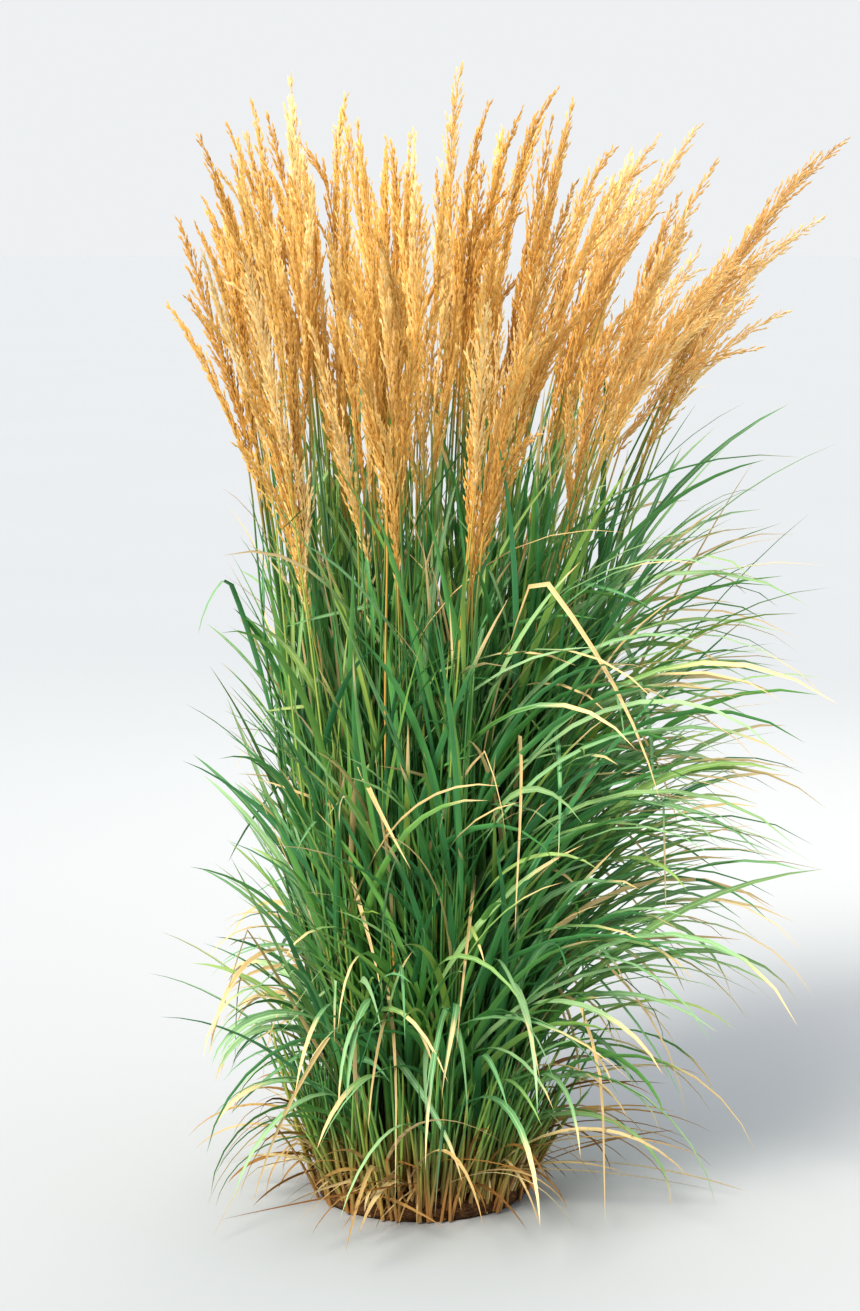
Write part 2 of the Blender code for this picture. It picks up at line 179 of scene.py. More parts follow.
def culmLine(bunch, index):
    angle = bunch["turn"] + index * math.tau / bunch["count"]
    points = []
    for step in range(culm["steps"] + 1):
        share = step / culm["steps"]
        apart = between(culm["close"], culm["apart"], math.sin(math.pi * share))
        distance = between(culm["start"], bunch["waist"], share)
        points.append(along(bunch["line"], distance) + sideways(bunch, angle, distance) * apart)
    return points


def plumeLine(bunch, plume, steps):
    points = []
    for step in range(steps + 1):
        share = step / steps
        distance = between(bunch["waist"] + 0.010 * (plume["index"] > 0), plume["tip"], share)
        apart = plume["spread"] * share**1.15
        points.append(along(bunch["line"], distance) + sideways(bunch, plume["angle"], distance) * apart)
    return points


def headShare(bunch, plume):
    return 1 - plume["length"] / (plume["tip"] - bunch["waist"])


def plumeBalls(bunch, plume):
    line = plumeLine(bunch, plume, 12)
    start = headShare(bunch, plume)
    radii = []
    for index in range(13):
        alongHead = (index / 12 - start) / (1 - start)
        wide = between(0.017, 0.007, max(0.0, alongHead - 0.5) * 2)
        radii.append(wide if alongHead > -0.1 else head["throat"] if index == 0 else 0.003)
    return strung(line, radii)


def sheafLine(bunch):
    distances = [0.0, clump["crownTop"] - sheaf["bottom"] + 0.006]
    distances += [distance for distance, ridge in sheaf["levels"]] + [sheaf["top"]]
    return distances, [along(bunch["line"], distance) for distance in distances]


def sheafBalls(bunch):
    ridges = [ridge for distance, ridge in sheaf["levels"]]
    return strung(sheafLine(bunch)[1], [sheaf["radius"], sheaf["radius"]] + ridges + [0.001])


def inSheaf(bunch, distance):
    distances, points = sheafLine(bunch)
    index = max(i for i in range(len(distances) - 1) if distances[i] <= distance)
    share = (distance - distances[index]) / (distances[index + 1] - distances[index])
    return points[index].lerp(points[index + 1], share)


def growBunch(draw, number):
    while True:
        place = math.sqrt((number + 0.5) / clump["bunches"])
        radius = clump["standRadius"] * place * draw.uniform(0.97, 1.03)
        azimuth = number * goldenAngle + draw.uniform(-0.10, 0.10)
        front = max(0.0, -math.sin(azimuth)) * radius / clump["standRadius"]
        height = clump["height"] * draw.uniform(0.94, 1.02) * (1 - 0.13 * front)
        stagger = head["stagger"] * (1 - 0.5 * front)
        bunch = {
            "name": f"{number + 1:02d}",
            "share": radius / clump["standRadius"],
            "azimuth": azimuth,
            "count": head["perBunch"],
            "turn": draw.uniform(0, math.tau),
            "height": height,
            "line": centreLine(radius, azimuth, height),
            "blades": [],
        }
        top = height - sheaf["bottom"]
        bunch["waist"] = top - stagger * (bunch["count"] - 1) - head["length"][1] - 0.04
        bunch["plumes"] = [
            {
                "index": index,
                "tip": top - stagger * index + draw.uniform(-0.02, 0.02) * (index > 0),
                "length": draw.uniform(*head["length"]),
                "spread": draw.uniform(*head["spread"]),
                "angle": bunch["turn"] + index * math.tau / bunch["count"] + draw.uniform(-0.25, 0.25),
            }
            for index in range(bunch["count"])
        ]
        stems = sheafBalls(bunch)
        plumes = []
        for index in range(bunch["count"]):
            stems += strung(culmLine(bunch, index), [culm["radius"]] * (culm["steps"] + 1))
            plumes += plumeBalls(bunch, bunch["plumes"][index])
        if isClear("", stems + plumes, 0.002):
            fill(bunch["name"], stems)
            fill("plumes", plumes)
            return bunch


def arch(start, heading, drift, angles, length, bend, kink=None, steps=24):
    # a leaf's line, whose lean goes from one angle to the other. A kinked leaf hangs from where it broke
    points = [start]
    for index in range(steps):
        share = (index + 0.5) / steps
        lean = between(angles[0], angles[1], share**bend)
        if kink and share > kink[0]:
            lean += kink[1]
        lean = math.radians(min(lean, 178.0))
        points.append(points[-1] + length / steps * tilted(outward(heading + drift * share), lean))
    return points


def sectionsOf(one):
    root, tip = one["arch"][3]
    return next(sections for bend, sections in blade["sections"] if tip - root <= bend)


def bladeBalls(one):
    fine = arch(*one["arch"])
    places = [share * (len(fine) - 1) for share, width in sectionsOf(one)]
    line = [fine[int(place)].lerp(fine[int(place) + 1], place % 1) for place in places] + [fine[-1]]
    radii = [max(0.0014, one["width"] / 2 * width) for share, width in sectionsOf(one)]
    return strung(line, radii + [0.0014])


def isInReach(balls):
    return all(place.z > max(0.004, radius) and place.x < blade["mostRight"] for place, radius in balls)


def drawBlade(draw, bunch, rank):
    share = bunch["share"]
    high = (rank + draw.random()) / blade["perBunch"]
    distance = between(*blade["start"], high)
    fan = between(math.pi, 1.1, share)
    heading = bunch["azimuth"] + draw.uniform(-fan, fan)
    toRight = rightward(heading)
    lean = leanAt(bunch, distance, heading)
    root = lean + draw.uniform(9, 20) + share * (1 - high) ** 2 * draw.uniform(0, 30)
    droop = between(24, 118, share * draw.uniform(0.45, 1.0)) * between(1.0, 0.62, high)
    droop *= between(0.55, 1.08, toRight)
    return {
        "arch": (
            inSheaf(bunch, distance),
            heading,
            draw.uniform(-0.5, 0.5),
            (root, root + droop),
            draw.uniform(*blade["length"]) * between(1.0, 0.90, high) * between(0.55, 1.0, toRight),
            draw.uniform(1.2, 1.9),
        ),
        "width": draw.uniform(*blade["width"]),
        "roll": draw.choice((-1, 1)) * draw.uniform(0.2, 0.7),
    }


def growBlade(draw, bunch, rank):
    for attempt in range(120):
        one = drawBlade(draw, bunch, rank)
        balls = bladeBalls(one)
        if isInReach(balls) and isClear(bunch["name"], balls, 0.0012, ownFrom=16):
            fill(bunch["name"], balls)
            bunch["blades"].append(one)
            return


def drawDryBlade(draw, foot, azimuth, rank, count):
    heading = azimuth + between(-0.62, 0.62, (rank + draw.random()) / count)
    root = draw.uniform(24, 62)
    return {
        "arch": (
            foot - upright * 0.004,
            heading,
            draw.uniform(-0.5, 0.5),
            (root, draw.uniform(112, 150)),
            draw.uniform(0.17, 0.40) * between(0.62, 1.0, rightward(heading)),
            draw.uniform(0.9, 1.4),
        ),
        "width": draw.uniform(0.0060, 0.0090),
        "roll": draw.choice((-1, 1)) * draw.uniform(0.1, 0.7),
    }


def growTuft(draw, number):
    for attempt in range(100):
        azimuth = (number + 0.5) * math.tau / tuft["count"] + draw.uniform(-0.25, 0.25)
        foot = outward(azimuth) * tuft["ring"] + upright * tuft["top"]
        stem = strung([foot - upright * (tuft["top"] - tuft["bottom"]), foot], [tuft["radius"]] * 2)
        if isClear("", stem, 0.002):
            break
    grown = {"name": f"{number + 1:02d}", "azimuth": azimuth, "foot": foot, "blades": []}
    fill("dry_" + grown["name"], stem)
    for rank in range(tuft["blades"]):
        for attempt in range(80):
            one = drawDryBlade(draw, foot, azimuth, rank, tuft["blades"])
            balls = bladeBalls(one)
            if isInReach(balls) and isClear("dry_" + grown["name"], balls, 0.001, ownFrom=12):
                fill("dry_" + grown["name"], balls)
                grown["blades"].append(one)
                break
    return grown


def growStubs(draw):
    stubs = []
    while len(stubs) < stub["count"]:
        out = outward(draw.uniform(0, math.tau))
        foot = out * clump["crownRadius"] * draw.uniform(0.86, 0.95) + upright * 0.008
        tip = foot + out * draw.uniform(0.006, 0.032) + upright * draw.uniform(0.05, 0.10)
        balls = strung([foot, tip], [stub["radius"]] * 2)
        if isClear("", balls, 0.003):
            fill("crown", balls)
            stubs.append((foot, tip))
    return stubs


growth = random.Random(clump["seed"])
bunches = [growBunch(growth, number) for number in range(clump["bunches"])]
stubs = growStubs(growth)
tufts = [growTuft(growth, number) for number in range(tuft["count"])]
for rank in range(blade["perBunch"]):
    for bunch in bunches[:: 1 if rank < blade["everyOther"] else 2]:
        growBlade(growth, bunch, rank)
print("clump grown:", sum(len(bunch["blades"]) for bunch in bunches), "blades shared with the solids")

# what the solids are too few to hold: finer shoots, leaves, culms and plumes
fineGrowth = random.Random(31)
shoot = {
    "perBunch": 15, "apart": (0.004, 0.032), "low": 0.010, "top": (0.34, 0.84),
    "foot": 0.0034, "tip": 0.0016,
}
tiller = {
    "count": 34, "around": 0.60, "aside": 0.14, "out": (0.112, 0.147), "up": 0.003, "lean": (2, 22),
    "length": (0.08, 0.26), "bow": (-0.02, 0.04),
}
fineCulm = {
    "extra": 6, "foot": 0.0021, "tip": 0.0011, "low": 0.10, "bulge": (0.004, 0.030), "inside": 0.012,
    "below": (0.14, 0.02), "plume": (0.20, 0.28), "spread": (0.014, 0.080),
    "nod": 0.050, "nodding": 0.55, "nodDown": 0.42,
}
# every kind of leaf. Rise is its lean at the root, droop what it gains on the way to the tip, and tip the
# lean that it ends with, in degrees. Fan is how far its heading may turn from the bunch's own, and drift how
# far it turns along the leaf, in radians. Kinked is the share that broke over, and hang how far those turn
leaf = {
    "perShoot": (2, 4), "fan": (math.pi, 1.5), "rise": (3, 17), "outerRise": (0, 26), "droop": (14, 125),
    "lowest": 0.06, "drift": 0.6, "length": (0.30, 0.70), "bend": (1.2, 2.2),
    "width": (0.0060, 0.0126), "roll": 1.2, "twist": 2.2, "straw": 0.085, "kinked": 0.11,
    "at": (0.35, 0.75), "hang": (45, 115), "most": (0.90, 0.80),
}
lowLeaf = {
    "count": 13, "from": (0.04, 0.27), "fan": 1.1, "rise": (12, 46), "drift": 0.7,
    "droop": (100, 140), "length": (0.26, 0.56), "least": 0.22, "bend": (0.9, 1.7),
    "width": (0.0080, 0.0128), "roll": 0.9, "twist": 1.0,
    "dry": (0.0, 0.0, 0.12, 0.3, 0.4, 0.5, 0.55, 0.9), "tint": (0.10, 0.80),
}
archer = {
    "count": 11, "from": (0.08, 0.50), "fan": 0.9, "toRight": (-0.9, 0.6), "turned": 0.6,
    "rise": (10, 26), "drift": 0.6, "droop": (70, 118), "length": (0.46, 0.80), "bend": (1.3, 2.0),
    "width": (0.0085, 0.0130), "roll": 0.8, "twist": 1.4, "dry": (0.0, 0.15, 0.35, 0.5),
    "tint": (0.30, 0.80),
}
flag = {
    "from": (0.46, 0.82), "rise": (3, 15), "drift": 0.4, "droop": (4, 60), "eased": True,
    "length": (0.20, 0.42), "bend": (1.4, 2.4), "width": (0.0055, 0.0095), "roll": 1.5,
    "twist": 1.5, "kinked": 0.08, "at": (0.4, 0.7), "hang": (40, 100), "most": (0.98, 0.76),
}
leavesLow = np.array(cadLow) + 0.012
leavesHigh = np.array(cadHigh) - 0.012


def swing(draw, most):
    return draw.uniform(-most, most)


def keptInside(points, left=-0.28):
    # inside the solids' own box, and close in on the left, where few leaves reach out
    return all(
        left < p.x < leavesHigh[0] and leavesLow[1] < p.y < leavesHigh[1] and 0.004 < p.z < leavesHigh[2]
        for p in points
    )


def fits(bunch, one, most, left=-0.28):
    # a broken leaf ends below the first height in metres, a whole one below a share of its bunch's height
    points = arch(*one["arch"], kink=one["kink"])
    top = most[0] if one["kink"] else bunch["height"] * most[1]
    return keptInside(points, left) and max(p.z for p in points) < top


def drawArch(draw, kind, start, heading, root=None):
    # what arch needs, in its own order
    drift = swing(draw, kind["drift"])
    if root is None:
        root, tip = draw.uniform(*kind["rise"]), draw.uniform(*kind["tip"])
    else:
        tip = root + draw.uniform(*kind["droop"]) * (draw.random() if "eased" in kind else 1.0)
    return start, heading, drift, (root, tip), draw.uniform(*kind["length"]), draw.uniform(*kind["bend"])


def drawKink(draw, kind):
    # where along its length a leaf broke over, and how far it hangs from there
    if "kinked" in kind and draw.random() < kind["kinked"]:
        return draw.uniform(*kind["at"]), draw.uniform(*kind["hang"])
    return None


def leafOf(draw, kind, arched, kink=None):
    one = {
        "arch": arched,
        "kink": kink,
        "width": draw.uniform(*kind["width"]),
        "roll": swing(draw, kind["roll"]),
        "twist": swing(draw, kind["twist"]),
    }
    if "tint" in kind:
        one["dry"] = draw.choice(kind["dry"])
        one["tint"] = draw.uniform(*kind["tint"])
    return one


def drawShoot(draw, bunch, number):
    angle = number * goldenAngle + swing(draw, 0.4)
    apart = between(*shoot["apart"], math.sqrt((number + draw.random()) / shoot["perBunch"]))
    top = draw.uniform(*shoot["top"])
    line = []
    for row in range(9):
        distance = between(shoot["low"], top, row / 8)
        reach = apart * min(1.0, 0.30 + 1.1 * (distance / shoot["top"][1]) ** 0.8)
        line.append(along(bunch["line"], distance) + sideways(bunch, angle, distance) * reach)
    return {"line": line, "top": top, "shade": draw.random()}


def pointOn(line, share):
    place = min(max(share, 0.0), 0.9999) * (len(line) - 1)
    index = int(place)
    return line[index].lerp(line[index + 1], place - index)


def drawLeaf(draw, bunch, grown, high, side):
    share = bunch["share"]
    distance = between(leaf["lowest"], grown["top"], high)
    tall = distance / shoot["top"][1]
    fan = between(*leaf["fan"], share)
    heading = bunch["azimuth"] + side * draw.uniform(0.1, fan)
    toRight = rightward(heading)
    lean = leanAt(bunch, distance, heading)
    root = lean + draw.uniform(*leaf["rise"]) + share * (1 - tall) ** 2 * draw.uniform(*leaf["outerRise"])
    droop = between(*leaf["droop"], share * draw.random() ** 0.9) * between(1.0, 0.60, tall)
    droop *= between(0.60, 1.08, toRight)
    kink = drawKink(draw, leaf)
    straw = draw.random() < leaf["straw"] or (kink is not None and draw.random() < 0.5)
    arched = (
        pointOn(grown["line"], (distance - shoot["low"]) / (grown["top"] - shoot["low"])),
        heading,
        swing(draw, leaf["drift"]),
        (root, root + droop),
        draw.uniform(*leaf["length"]) * between(0.86, 1.0, share) * between(0.72, 1.0, toRight),
        draw.uniform(*leaf["bend"]),
    )
    one = leafOf(draw, leaf, arched, kink)
    one["width"] *= 0.72 if straw else 1.0
    one["twist"] *= draw.random()
    one["dry"] = draw.uniform(0.75, 1.0) if straw else draw.random() ** 2 * 0.5
    return one


def growLowLeaves(draw, bunch):
    # leaves of the outer bunches that rise a little and then hang to the ground
    count = round(lowLeaf["count"] * max(0.0, bunch["share"] - 0.45) / 0.55)
    for attempt in range(60):
        if count == 0:
            return
        root = draw.uniform(*lowLeaf["rise"])
        start = along(bunch["line"], draw.uniform(*lowLeaf["from"]))
        heading = bunch["azimuth"] + swing(draw, lowLeaf["fan"])
        arched = drawArch(draw, lowLeaf, start, heading, root)
        while arched[4] > lowLeaf["least"] and not keptInside(arch(*arched)):
            # shortened until it ends above the ground
            arched = (*arched[:4], arched[4] * 0.94, arched[5])
        if arched[4] > lowLeaf["least"]:
            bunch["leaves"].append(leafOf(draw, lowLeaf, arched))
            count -= 1


def growTillers(draw, bunch):
    # young stems that stand close together on the crown's rim, in front of the outer bunches
    count = round(tiller["count"] * max(0.0, bunch["share"] - 0.5) / 0.5)
    for index in range(count):
        out = outward(bunch["azimuth"] + swing(draw, tiller["around"]))
        side = leftOf(out) * swing(draw, tiller["aside"])
        foot = out * draw.uniform(*tiller["out"]) + upright * tiller["up"]
        lean = math.radians(draw.uniform(*tiller["lean"]))
        way = (tilted(out, lean) + side).normalized()
        length = draw.uniform(*tiller["length"])
        bow = out * draw.uniform(*tiller["bow"]) + side * swing(draw, 0.1)
        line = [foot + way * (length * row / 8) + bow * (row / 8) ** 2 for row in range(9)]
        bunch["shoots"].append({"line": line, "shade": draw.random()})


def headApart(bunch, plume, distance):
    # how far from the middle of its bunch a culm stands, and its plume above
    start = plume["tip"] - plume["length"]
    whole = plume["tip"] - bunch["waist"]
    opened = max(0.0, (max(distance, start) - bunch["waist"]) / whole) ** 1.15
    if distance >= start:
        return plume["spread"] * opened
    share = max(0.0, distance - fineCulm["low"]) / (start - fineCulm["low"])
    return between(0.004, plume["spread"] * opened, share**1.3) + plume["bulge"] * math.sin(math.pi * share)


def headPoint(bunch, plume, distance):
    apart = headApart(bunch, plume, distance)
    place = along(bunch["line"], distance) + sideways(bunch, plume["angle"], distance) * apart
    # the upper part of a plume nods over
    nodding = plume["length"] * fineCulm["nodding"]
    beyond = (distance - plume["tip"] + nodding) / nodding
    if beyond <= 0:
        return place
    way = bunch["azimuth"] + (plume["nodWay"] - math.pi) * 0.45
    over = outward(way) - upright * fineCulm["nodDown"]
    return place + over * (fineCulm["nod"] * plume["nod"] * beyond**2)


def growArchers(draw, bunch):
    # the longest leaves, from the bunches in front and on the right: up, far over and down again
    facing = max(math.cos(bunch["azimuth"]), -math.sin(bunch["azimuth"]))
    count = archer["count"] * (0.4 + 0.6 * facing) * (0.5 + 0.5 * bunch["share"])
    if bunch["azimuth"] % 6.0 < 1.0:
        # a few bunches bear more of them, so that they don't stand evenly
        count *= 1.6
    count = round(count)
    for attempt in range(120):
        if count <= 0:
            return
        heading = bunch["azimuth"] + swing(draw, archer["fan"])
        if draw.random() < archer["turned"]:
            heading = draw.uniform(*archer["toRight"])
        root = draw.uniform(*archer["rise"])
        start = along(bunch["line"], draw.uniform(*archer["from"]))
        one = leafOf(draw, archer, drawArch(draw, archer, start, heading, root))
        if keptInside(arch(*one["arch"])):
            bunch["leaves"].append(one)
            count -= 1


def growFlags(draw, bunch):
    # each culm's topmost leaf stands nearly upright among the plumes' feet
    for plume in bunch["heads"]:
        for attempt in range(20):
            lowest, highest = flag["from"]
            distance = draw.uniform(lowest, min(highest, plume["tip"] - plume["length"] - 0.02))
            root = draw.uniform(*flag["rise"])
            heading = draw.uniform(0, math.tau)
            arched = drawArch(draw, flag, headPoint(bunch, plume, distance), heading, root)
            one = leafOf(draw, flag, arched, drawKink(draw, flag))
            one["dry"] = draw.random() ** 2 * 0.6
            if fits(bunch, one, flag["most"], left=-0.32):
                bunch["leaves"].append(one)
                break


def growLeaves(draw, bunch):
    for number in range(shoot["perBunch"]):
        grown = drawShoot(draw, bunch, number)
        bunch["shoots"].append(grown)
        count = draw.randint(*leaf["perShoot"]) + (math.cos(bunch["azimuth"]) > 0.2)
        side = draw.choice((-1, 1))
        for index in range(count):
            for attempt in range(20):
                one = drawLeaf(draw, bunch, grown, (index + draw.random()) / count, side)
                if fits(bunch, one, leaf["most"]):
                    bunch["leaves"].append(one)
                    break
            side = -side
    growLowLeaves(draw, bunch)
    growTillers(draw, bunch)
    growArchers(draw, bunch)


def growCulms(draw, bunch):
    # the solids' own plumes first, then a few more between them; each culm runs straight to its plume
    bunch["heads"] = [dict(plume) for plume in bunch["plumes"]]
    lowest = bunch["plumes"][-1]["tip"] - fineCulm["below"][0]
    highest = bunch["plumes"][0]["tip"] - fineCulm["below"][1]
    for index in range(fineCulm["extra"]):
        turn = bunch["turn"] + (index + 0.5) * math.tau / fineCulm["extra"]
        bunch["heads"].append(
            {
                "tip": between(lowest, highest, draw.random() ** 1.3),
                "length": draw.uniform(*fineCulm["plume"]),
                "spread": draw.uniform(*fineCulm["spread"]),
                "angle": turn + swing(draw, 0.4),
            }
        )
    onRight = max(0.0, math.cos(bunch["azimuth"])) * bunch["share"]
    for plume in bunch["heads"]:
        plume["nod"] = draw.uniform(0.0, 1.0) ** 2 * (1 + 0.6 * onRight)
        plume["nodWay"] = draw.uniform(0, math.tau)
        plume["open"] = draw.random() + 0.5 * onRight
        plume["shade"] = draw.random()
        plume["bulge"] = draw.uniform(*fineCulm["bulge"])
        plume["dead"] = 0.0
        for attempt in range(8):
            tip = headPoint(bunch, plume, plume["tip"])
            if cadLow[0] < tip.x < cadHigh[0] - fineCulm["inside"] and cadLow[1] < tip.y < cadHigh[1]:
                break
            plume["nod"] *= 0.8
            plume["spread"] *= 0.8


for bunch in bunches:
    bunch["shoots"] = []
    bunch["leaves"] = []
    for one in bunch["blades"]:
        bunch["leaves"].append(dict(one, kink=None, twist=0.0, dry=fineGrowth.random() ** 3 * 0.4))
    growLeaves(fineGrowth, bunch)
    growCulms(fineGrowth, bunch)
    growFlags(fineGrowth, bunch)
print("leaves:", sum(len(bunch["leaves"]) for bunch in bunches))
print("plumes:", sum(len(bunch["heads"]) for bunch in bunches))


# shapes that are repeated, and how copies of them are bent along their lines
def meshOf(bm, name):
    mesh = bpy.data.meshes.new(name)
    bm.to_mesh(mesh)
    bm.free()
    return mesh


def tubeTemplate(name, sides, rows, pointedFoot=False, pointedTip=False):
    # a grid rolled up round +Y, one unit long and of unit radius, its seam merged and its ends closed
    bm = bmesh.new()
    bm.loops.layers.uv.new("along")
    bmesh.ops.create_grid(bm, x_segments=sides, y_segments=rows, size=0.5, calc_uvs=True)
    for vert in bm.verts:
        turn = (vert.co.x + 0.5) * math.tau
        vert.co = (math.cos(turn), vert.co.y + 0.5, math.sin(turn))
    bmesh.ops.remove_doubles(bm, verts=bm.verts, dist=1e-5)
    for level, pointed in ((0.0, pointedFoot), (1.0, pointedTip)):
        ring = [vert for vert in bm.verts if abs(vert.co.y - level) < 1e-5]
        if pointed:
            bmesh.ops.pointmerge(bm, verts=ring, merge_co=(0.0, level, 0.0))
        else:
            bmesh.ops.contextual_create(bm, geom=ring)
    bmesh.ops.recalc_face_normals(bm, faces=bm.faces)
    return meshOf(bm, name)


def cornersOf(mesh):
    corners = np.empty(len(mesh.vertices) * 3)
    mesh.vertices.foreach_get("co", corners)
    return corners.reshape(-1, 3)


def alongOf(mesh):
    # how far along its length each corner of a template lies
    return cornersOf(mesh)[None, :, 1]


def copied(name, template, corners, columns, **values):
    # corners holds every copy's points. Each value is a number a copy or a point, kept as an attribute
    bm = bmesh.new()
    for copy in range(len(corners)):
        bm.from_mesh(template)
    mesh = meshOf(bm, name)
    mesh.vertices.foreach_set("co", corners.astype(np.float32).ravel())
    for key, numbers in values.items():
        numbers = np.broadcast_to(numbers.reshape(len(numbers), -1), corners.shape[:2])
        data = mesh.attributes.new(key, "FLOAT", "POINT").data
        data.foreach_set("value", numbers.astype(np.float32).ravel())
    # each copy gets its own cell of the square, so that colours baked onto this map stay apart
    own = np.empty(len(template.loops) * 2)
    template.uv_layers["along"].data.foreach_get("uv", own)
    number = np.arange(len(corners))
    cell = np.stack([number % columns, number // columns], axis=1)[:, None, :]
    rows = math.ceil(len(corners) / columns)
    laid = (cell + 0.05 + 0.90 * own.reshape(1, -1, 2)) / np.array([columns, rows])
    mesh.uv_layers.new(name="OFBake").data.foreach_set("uv", laid.astype(np.float32).ravel())
    return mesh


def listed(items, key):
    return np.array([item[key] for item in items])


def turned(first, second, angles):
    # ways that lie between the first and the second at these angles
    return first * np.cos(angles)[:, None] + second * np.sin(angles)[:, None]


def unit(vectors):
    return vectors / np.maximum(np.linalg.norm(vectors, axis=-1, keepdims=True), 1e-12)


def swept(template, lines, across, wide, deep):
    # lines: copies x rows x 3. across: the same, the way to each copy's left. wide and deep: half sizes
    own = cornersOf(template)
    row = np.rint(own[:, 1] * (lines.shape[1] - 1)).astype(int)
    heading = unit(np.gradient(lines, axis=1))
    across = unit(across - (across * heading).sum(axis=2, keepdims=True) * heading)
    above = np.cross(heading, across)
    right = -across[:, row] * (wide[:, row] * own[:, 0])[..., None]
    return lines[:, row] + right + above[:, row] * (deep[:, row] * own[:, 2])[..., None]


def tubes(name, template, lines, half, columns, flat=1.0, **values):
    # round stems along their lines, as thick as half says at each row
    across = np.tile(np.array([0.0, 1.0, 0.0]), lines.shape[:2] + (1,))
    return copied(name, template, swept(template, lines, across, half, half * flat), columns, **values)


def straight(template, feet, ways, long, thick):
    # copies that stand on their feet and point their own way
    own = cornersOf(template)
    side = unit(np.cross(ways, np.array([0.31, 0.87, 0.38])))
    above = np.cross(ways, side)
    forward = (ways * long[:, None])[:, None] * own[None, :, 1:2]
    across = (side * thick[:, None])[:, None] * own[None, :, 0:1]
    upward = (above * thick[:, None])[:, None] * own[None, :, 2:3]
    return feet[:, None] + forward - across + upward


def joined(name, meshes):
    bm = bmesh.new()
    for mesh in meshes:
        bm.from_mesh(mesh)
    return meshOf(bm, name)


def smoothed(mesh, sharpFrom=60.0):
    mesh.polygons.foreach_set("use_smooth", np.ones(len(mesh.polygons), bool))
    mesh.set_sharp_from_angle(angle=math.radians(sharpFrom))
    return mesh


def placed(name, data):
    made = bpy.data.objects.new(name, data)
    bpy.context.scene.collection.objects.link(made)
    return made


def piece(name, mesh, finish, nodes):
    made = placed(name, mesh)
    mesh.materials.append(finish)
    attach(made, "root")
    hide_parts(*nodes)


def smoothStep(values):
    values = np.clip(values, 0.0, 1.0)
    return values * values * (3 - 2 * values)


# a leaf's cross-section is a shallow channel above and a keel below, in half widths
leafShape = {"rows": 12, "sink": 0.26, "keel": 0.42, "thin": 0.0003}
leafTemplate = tubeTemplate("leafTemplate", 4, leafShape["rows"], pointedFoot=True, pointedTip=True)
for vert in leafTemplate.vertices:
    if vert.co.z > 0.5:
        vert.co.z = -leafShape["sink"]
    elif vert.co.z < -0.5:
        vert.co.z = -leafShape["keel"]
shootTemplate = tubeTemplate("shootTemplate", 6, 8, pointedTip=True)
culmTemplate = tubeTemplate("culmTemplate", 5, 10)
spikeletTemplate = tubeTemplate("spikeletTemplate", 3, 2, pointedFoot=True, pointedTip=True)
branchTemplate = tubeTemplate("branchTemplate", 3, 2, pointedTip=True)
stubbleTemplate = tubeTemplate("stubbleTemplate", 6, 3)


def leafLines(leaves):
    # every leaf's line and the way to its left, row by row: arch gives two steps a row
    lines, lefts = [], []
    for one in leaves:
        points = arch(*one["arch"], kink=one["kink"])
        way, drift = one["arch"][1:3]
        for row in range(leafShape["rows"] + 1):
            share = row / leafShape["rows"]
            across = leftOf(outward(way + drift * share))
            heading = points[min(2 * row + 2, len(points) - 1)] - points[max(2 * row - 2, 0)]
            turn = one["roll"] * min(1.0, 2 * share) + one["twist"] * share
            across.rotate(Quaternion(heading.normalized(), turn))
            lines.append(points[2 * row])
            lefts.append(across)
    shape = (len(leaves), leafShape["rows"] + 1, 3)
    return np.array(lines).reshape(shape), np.array(lefts).reshape(shape)


def dryness(leaves):
    # it begins at the tip, and a straw leaf is dry all along
    numbers = listed(leaves, "dry")[:, None]
    whole = smoothStep((numbers - 0.6) / 0.15)
    tip = smoothStep((alongOf(leafTemplate) - 1 + 0.85 * numbers) / 0.30) * (numbers > 0.04)
    return np.maximum(whole, 0.9 * tip)


def leafMesh(name, leaves, columns=16):
    lines, lefts = leafLines(leaves)
    share = np.linspace(0, 1, leafShape["rows"] + 1)
    narrowing = (0.5 + 0.5 * smoothStep(share / 0.28)) * (1 - share**2.4) ** 0.75
    half = np.maximum(listed(leaves, "width")[:, None] / 2 * narrowing, leafShape["thin"])
    corners = swept(leafTemplate, lines, lefts, half, half)
    values = {"tint": listed(leaves, "tint"), "dry": dryness(leaves)}
    return smoothed(copied(name, leafTemplate, corners, columns, **values))


def stemMesh(name, bunch):
    lines = listed(bunch["shoots"], "line")
    shades = listed(bunch["shoots"], "shade")[:, None]
    half = between(shoot["foot"], shoot["tip"], np.linspace(0, 1, lines.shape[1])) * (0.8 + 0.4 * shades)
    yellowed = 0.25 * (shades > 0.90)
    shoots = tubes(name + "_shoots", shootTemplate, lines, half, len(lines), 0.8, tint=shades, dry=yellowed)
    rows = 10
    lines = []
    for plume in bunch["heads"]:
        # up through the sheaf and on into the plume
        end = plume["tip"] - plume["length"] * 0.92
        lines.append([headPoint(bunch, plume, between(0.012, end, row / rows)) for row in range(rows + 1)])
    lines = np.array(lines)
    half = np.tile(np.linspace(fineCulm["foot"], fineCulm["tip"], rows + 1), (len(lines), 1))
    ripened = smoothStep((alongOf(culmTemplate) - 0.84) / 0.16) * 0.65
    ripened = np.maximum(listed(bunch["heads"], "dead")[:, None], ripened)
    shades = listed(bunch["heads"], "shade")
    culms = tubes(name + "_culms", culmTemplate, lines, half, len(lines), tint=shades, dry=ripened)
    return smoothed(joined(name, [shoots, culms]), 80)


plumeShape = {
    "rows": 40, "branches": 50, "perLength": 0.285, "branchLength": 0.056, "branchRadius": 0.00045,
    "varied": (0.70, 1.12), "angle": (5.0, 14.0), "spacing": 0.0056, "spikelet": (0.0095, 0.0135),
    # the last number is how much painted shade near a plume's axis and painted light further out its
    # spikelets get
    "spikeletRadius": (0.0011, 0.0017), "lean": (3, 17), "outwards": 0.55, "shaded": 0.16, "paintedLightAndShade": 0.50,
}


